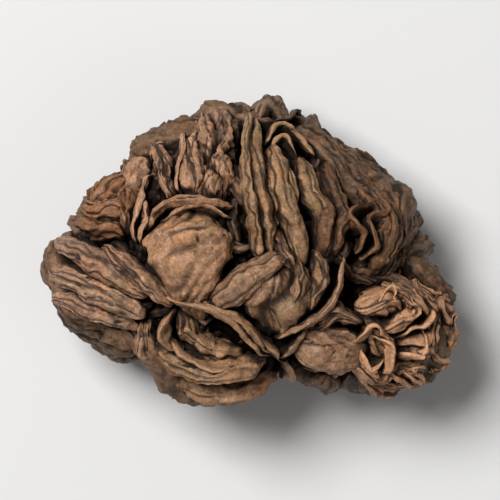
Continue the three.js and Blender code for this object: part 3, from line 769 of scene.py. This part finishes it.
# The curly lump below the lobe: small pale leaves rolled into balls and hooks, with thin edges between them,
# packed tight together and stuck to the core's full lower right.
leaf_group(
    "curly_lump",
    [
        leaf((7.3, -3.1), (8.2, -2.7), (9.1, -3.1), width=1.7, height=2.6, lift=1.3, tone=1.0, vein=0.06),
        leaf((8.8, -1.7), (10.4, -3.5), (8.4, -5.0), width=1.0, height=2.6, lift=1.4),
        leaf((10.7, -2.2), (11.1, -4.4), (9.3, -5.9), width=1.0, height=2.6, lift=1.2),
        leaf((11.2, -2.0), (12.0, -4.3), (11.2, -7.0), width=1.4, height=2.6, lift=1.0),
        leaf((7.2, -3.8), (7.9, -4.8), (9.1, -6.1), width=1.4, lift=0.8, tone=0.2),
        leaf((6.9, -6.5), (8.3, -6.8), (9.6, -6.5), width=1.7, lift=0.8),
        leaf((6.9, -7.1), (9.0, -8.1), (11.0, -7.5), width=1.3, height=2.4, lift=1.0),
        rim((9.2, -2.2), (9.9, -3.2), (9.4, -4.2), lift=1.5),
        rim((10.1, -4.9), (10.9, -5.4), (11.5, -6.3)),
        rim((8.0, -6.0), (9.3, -7.1), (10.5, -6.0)),
        rim((8.1, -7.6), (9.2, -8.0), (10.4, -7.3)),
        rim((7.2, -4.6), (8.2, -5.2), (8.5, -6.5)),
        rim((11.3, -3.0), (11.8, -4.5), (11.3, -6.0), lift=0.8),
        rim((7.5, -3.3), (8.3, -2.0), (9.3, -3.0), lift=1.5),
        rim((9.0, -1.6), (10.8, -3.4), (8.9, -5.2), width=0.5, lift=1.6),
        rim((11.3, -3.9), (10.2, -5.3), (8.6, -5.8), lift=1.4),
        rim((6.6, -5.0), (7.5, -4.1), (8.5, -5.0), lift=1.2),
        rim((6.8, -5.6), (7.4, -6.4), (8.4, -5.9), lift=1.1),
        rim((7.4, -7.3), (9.2, -8.4), (11.2, -7.1), width=0.5, lift=1.2),
        rim((9.5, -6.2), (9.7, -7.0), (9.4, -7.8), lift=1.1),
        leaf((9.0, -5.5), (10.2, -4.8), (11.1, -3.5), width=1.4, lift=0.9, tone=0.9, vein=0.07),
        leaf((8.5, -7.0), (9.7, -6.4), (11.0, -6.4), width=1.4, lift=0.7, tone=0.9, vein=0.07),
    ],
    dried_leaf("curly_leaf", brown=(0.36, 0.194, 0.108)),
)


# The leaves that the lump lies on, and the bundles of three round its sides: the same folded leaf, wider and
# darker, pressed against its neighbours in the pile and stuck to the core.
BUNDLES = 10
BUNDLE_SIZE = 3
FIRST_LEVEL, LAST_LEVEL = 0.02, -0.72
FIRST_TURN, GOLDEN_TURN = 0.92, 2.39996
SEED = 20260
DRAW_TIMES, DRAW_PLUS = 1664525, 1013904223
UNDER = dict(side=-1, dive=0, layers=4)


class Draw:
    """The seeded draw that the solid's own bundles are laid out by."""

    def __init__(self, seed):
        self.state = seed

    def __call__(self, low, high):
        self.state = (self.state * DRAW_TIMES + DRAW_PLUS) % 2**32
        return low + (high - low) * self.state / 2**32


def lying(out, turn, pole):
    """A direction that lies on the core where it faces out, turned from the one square to a pole."""
    east = unit(np.cross(pole, out))
    return east * math.cos(turn) + np.cross(out, east) * math.sin(turn)


def side_bundles():
    """Bundles spiralling down round the lump from its widest level."""
    draw = Draw(SEED)
    leaves = []
    for i in range(BUNDLES):
        level = FIRST_LEVEL + (LAST_LEVEL - FIRST_LEVEL) * i / (BUNDLES - 1)
        turn = FIRST_TURN + i * GOLDEN_TURN + draw(-0.2, 0.2)
        ring = math.sqrt(1 - level * level)
        ray = np.array([math.cos(turn) * ring, math.sin(turn) * ring, level])
        at, out = on_core(ray * CORE_RADII + CORE_MIDDLE)
        way = lying(out, draw(0, math.pi), pole=[0, 0, 1])
        beside = np.cross(out, way)
        for k in range(BUNDLE_SIZE):
            place = at + beside * (k - 1) * draw(1.7, 2.3) + way * draw(-1, 1)
            length = draw(6.0, 9.0)
            sizes = dict(width=draw(2.3, 3.4), height=draw(2.2, 3.0), lift=draw(0.5, 0.9))
            line = midline_from(on_core(place), way, length, draw(-40, 40))
            sizes.update(lean=draw(-20, 20), taper=draw(-0.5, 0.5), pleats=1 if k == 1 else 0, layers=4)
            leaves.append({**LEAF, **sizes, "line": line})
    return leaves


side_leaf = dried_leaf("side_leaf", brown=(0.135, 0.076, 0.043))
leaf_group(
    "resting_leaves",
    [
        leaf((-3.9, -1.4), (0.2, 0.1), (4.1, 1.6), width=4.4, height=2.6, pleats=1, **UNDER),
        leaf((-4.8, 1.8), (-1.6, 3.2), (2.4, 4.6), width=3.4, height=2.4, lift=0.6, **UNDER),
        leaf((-2.2, -4.2), (1.8, -3.1), (5.4, -3.0), width=3.6, height=2.4, lift=0.6, **UNDER),
        leaf((-6.4, 0.8), (-4.8, -1.9), (-3.2, -4.4), width=3.2, height=2.4, lift=0.5, **UNDER),
        leaf((4.5, 4.4), (5.4, 1.9), (6.6, -0.9), width=3.4, height=2.4, lift=0.5, **UNDER),
    ],
    side_leaf,
    spacing=0.13,
)
leaf_group("side_leaves", side_bundles(), side_leaf, spacing=0.14)


# Scraps of leaf tucked in everywhere between the big ones: torn bits, rolled up short. They are stuck all
# over the core but not in its pits.
SCRAPS = 300
PIT_ROOM = 1.3  # how far scraps keep from a pit, to its reach


def spiral(count, start):
    """Directions spread evenly over a ball, the first turned by its start in golden turns."""
    steps = np.arange(count)
    level = 1 - 2 * (steps + 0.5) / count
    ring = np.sqrt(1 - level**2)
    turn = GOLDEN_TURN * (steps + start)
    return np.stack([np.cos(turn) * ring, np.sin(turn) * ring, level], -1)


def tucked_scraps():
    draw = random.Random(SEED)
    leaves = []
    for ray in spiral(SCRAPS, start=0):
        at, out = on_core(ray * CORE_RADII + CORE_MIDDLE)
        in_pit = any(math.hypot(at[0] - x, at[1] - y) < PIT_ROOM * reach for x, y, _, reach in PITS)
        if out[2] > 0 and in_pit:
            continue
        way = lying(out, draw.uniform(0, math.pi), pole=[0.02, 0, 1])
        line = midline_from((at, out), way, draw.uniform(1.6, 3.6), draw.uniform(-70, 70))
        sizes = dict(
            width=draw.uniform(0.5, 1.2), height=draw.uniform(0.9, 1.6), lift=draw.uniform(0.1, 0.5),
            lean=draw.uniform(-35, 35), tone=draw.uniform(0.0, 0.5), dive=0.2, crease=0.1, lip=0.05, layers=1,
            step=0.1,
        )
        leaves.append({**LEAF, **sizes, "line": line})
    return leaves


scrap_leaf = dried_leaf("scrap_leaf", brown=(0.150, 0.085, 0.052))
leaf_group("tucked_scraps", tucked_scraps(), scrap_leaf, spacing=0.17)


# Crumbs of leaf in the clefts: what the leaves shed, caught between them and stuck fast to the core. Each is
# a small ball, squeezed three ways and turned at random.
CRUMBS = 1300
CRUMB_ROUNDS = 2
CRUMB_RADII = (0.1, 0.34)
CRUMB_SQUEEZE = (0.3, 1.0)
CRUMB_STANDS = (0.1, 0.5)  # how far above the core its middle lies
CRUMB_SWAY, CRUMB_WAVES = 0.08, 4
shed = np.random.default_rng(SEED)
grain_points, grain_faces = icosphere(CRUMB_ROUNDS)
ways = unit(spiral(CRUMBS, start=0.5) * CORE_RADII)
spots = CORE_MIDDLE + ways * (core_reach(ways) + shed.uniform(*CRUMB_STANDS, CRUMBS))[:, None]
turns = np.linalg.qr(shed.normal(size=(CRUMBS, 3, 3)))[0]
sizes = shed.uniform(*CRUMB_RADII, (CRUMBS, 1, 1)) * shed.uniform(*CRUMB_SQUEEZE, (CRUMBS, 1, 3))
crumb_points = (spots[:, None] + (grain_points * sizes) @ turns).reshape(-1, 3)
crumb_points = crumb_points + CRUMB_SWAY * sway(crumb_points * CRUMB_WAVES)
crumb_tone = np.repeat(shed.uniform(0.0, 0.7, CRUMBS), len(grain_points))
made_piece(
    "crumbs",
    crumpled(crumb_points),
    (grain_faces + len(grain_points) * np.arange(CRUMBS)[:, None, None]).reshape(-1, 3),
    dried_leaf("crumb_leaf", brown=(0.12, 0.068, 0.042), roughness=0.75),
    {
        "tone": crumb_tone,
        "edge": 0.5 * crumb_tone,
        "seam": np.zeros(len(crumb_points)),
        "along": crumb_points[:, 0],
        "around": crumb_points[:, 1],
    },
)


# The lump is set down: what reaches below the rest plane is pressed flat on it, as the damp lump was, and the
# whole is moved to stand on the middle of its footprint, where the solid has its origin.
REST_DEPTH = 0.6  # how much of the underside is pressed flat
UNEVEN = 0.02  # how far pressed skin stays uneven
UNEVEN_WAVES = (4000, 5100)  # radians to the metre, along and across
lain = []
for piece in PIECES:
    places = np.empty(3 * len(piece.data.vertices), np.float32)
    piece.data.vertices.foreach_get("co", places)
    places = places.reshape(-1, 3).astype(float)
    low = places[:, 2] < REST_DEPTH * MM
    dents = np.sin(places[low, 0] * UNEVEN_WAVES[0]) * np.sin(places[low, 1] * UNEVEN_WAVES[1])
    places[low, 2] = REST_DEPTH * MM + UNEVEN * MM * np.abs(dents)
    lain.append(places)
everything = np.vstack(lain)
solid_low, solid_high = (np.array(corner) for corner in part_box("tea_nugget"))
move = (solid_low + solid_high - everything.min(0) - everything.max(0)) / 2
move[2] = solid_low[2] - REST_DEPTH * MM
everything = everything + move


# How open each place lies, from 0 in the bottom of a cleft to 1 on a ridge: the share of short ways out that
# no other leaf blocks. The leaf's colour follows it as painted shade, which darkens the clefts towards black.
CELL = 0.22 * MM
MARGIN = 3  # cells round the lump
WAYS_OUT = 26
STEP_OFF = 0.5  # cells off the skin, where each way out starts
STRIDES = (2.2, 3.4, 4.8, 6.6, 8.8)  # cells along it
corner = everything.min(0) - MARGIN * CELL
cells = np.ceil((everything.max(0) + MARGIN * CELL - corner) / CELL).astype(int) + 1
filled = np.zeros(cells, bool)
filled[tuple(((everything - corner) / CELL).astype(int).T)] = True
for piece, places in zip(PIECES, lain):
    places = places + move
    piece.data.vertices.foreach_set("co", places.astype(np.float32).ravel())
    piece.data.update()
    normals = np.empty(3 * len(places), np.float32)
    piece.data.vertices.foreach_get("normal", normals)
    normals = normals.reshape(-1, 3)
    opened, wanted = np.zeros(len(places)), np.zeros(len(places))
    for way in spiral(WAYS_OUT, start=0.5):
        weight = np.maximum(0, normals @ way)
        clear = np.ones(len(places), bool)
        for stride in STRIDES:
            spot = (places + normals * STEP_OFF * CELL + way * stride * CELL - corner) / CELL
            spot = np.clip(spot.astype(int), 0, cells - 1)
            clear &= ~filled[tuple(spot.T)]
        opened += weight * clear
        wanted += weight
    openness = opened / np.maximum(wanted, 1e-6)
    piece.data.attributes.new("open", "FLOAT", "POINT").data.foreach_set("value", openness.astype(np.float32))


# The floor: a plain pale board with a matt face, that the lump lies on. It is no part of the nugget.
FLOOR_HALF = 0.6
board = bpy.data.meshes.new("floor")
corners = [(x * FLOOR_HALF, y * FLOOR_HALF, 0) for x, y in ((-1, -1), (1, -1), (1, 1), (-1, 1))]
board.from_pydata(corners, [], [(0, 1, 2, 3)])
floor = bpy.data.objects.new("floor", board)
bpy.context.scene.collection.objects.link(floor)
paint = bpy.data.materials.new("pale_board")
paint.use_nodes = True
paint.node_tree.nodes["Principled BSDF"].inputs["Base Color"].default_value = (0.6, 0.596, 0.588, 1)
paint.node_tree.nodes["Principled BSDF"].inputs["Roughness"].default_value = 0.7
board.materials.append(paint)


# Soft studio light: a bright room, a large soft box from the upper left, and a weak one opposite. Both boxes
# face the middle of the floor.
ROOM_LIGHT = 0.17
world = bpy.data.worlds.new("room")
world.use_nodes = True
world.node_tree.nodes["Background"].inputs["Color"].default_value = (1, 1, 1, 1)
world.node_tree.nodes["Background"].inputs["Strength"].default_value = ROOM_LIGHT
bpy.context.scene.world = world


def soft_box(name, place, size, power):
    light = bpy.data.lights.new(name, "AREA")
    light.shape = "SQUARE"
    light.size = size
    light.energy = power
    lamp = bpy.data.objects.new(name, light)
    lamp.location = place
    lamp.rotation_euler = (-lamp.location).to_track_quat("-Z", "Y").to_euler()
    bpy.context.scene.collection.objects.link(lamp)


soft_box("key_box", (-0.14, 0.12, 0.34), size=0.16, power=2.0)
soft_box("fill_box", (0.3, -0.2, 0.3), size=0.3, power=0.26)


# The camera looks straight down, as the photograph does. Its lens is worked out from its height, so that the
# picture spans a little more than the lump at half the lump's height.
CAMERA_HEIGHT = 0.36
VIEW_WIDTH = 0.030
SENSOR_WIDTH = 36  # millimetres, as the lens is
camera_data = bpy.data.cameras.new("camera")
camera_data.sensor_width = SENSOR_WIDTH
camera_data.lens = SENSOR_WIDTH * (CAMERA_HEIGHT - 0.5 * HEIGHT * MM) / VIEW_WIDTH
camera_data.clip_start = 0.01
camera = bpy.data.objects.new("camera", camera_data)
camera.location = (0, 0, CAMERA_HEIGHT)
bpy.context.scene.collection.objects.link(camera)
bpy.context.scene.camera = camera
bpy.context.scene.view_settings.view_transform = "Standard"
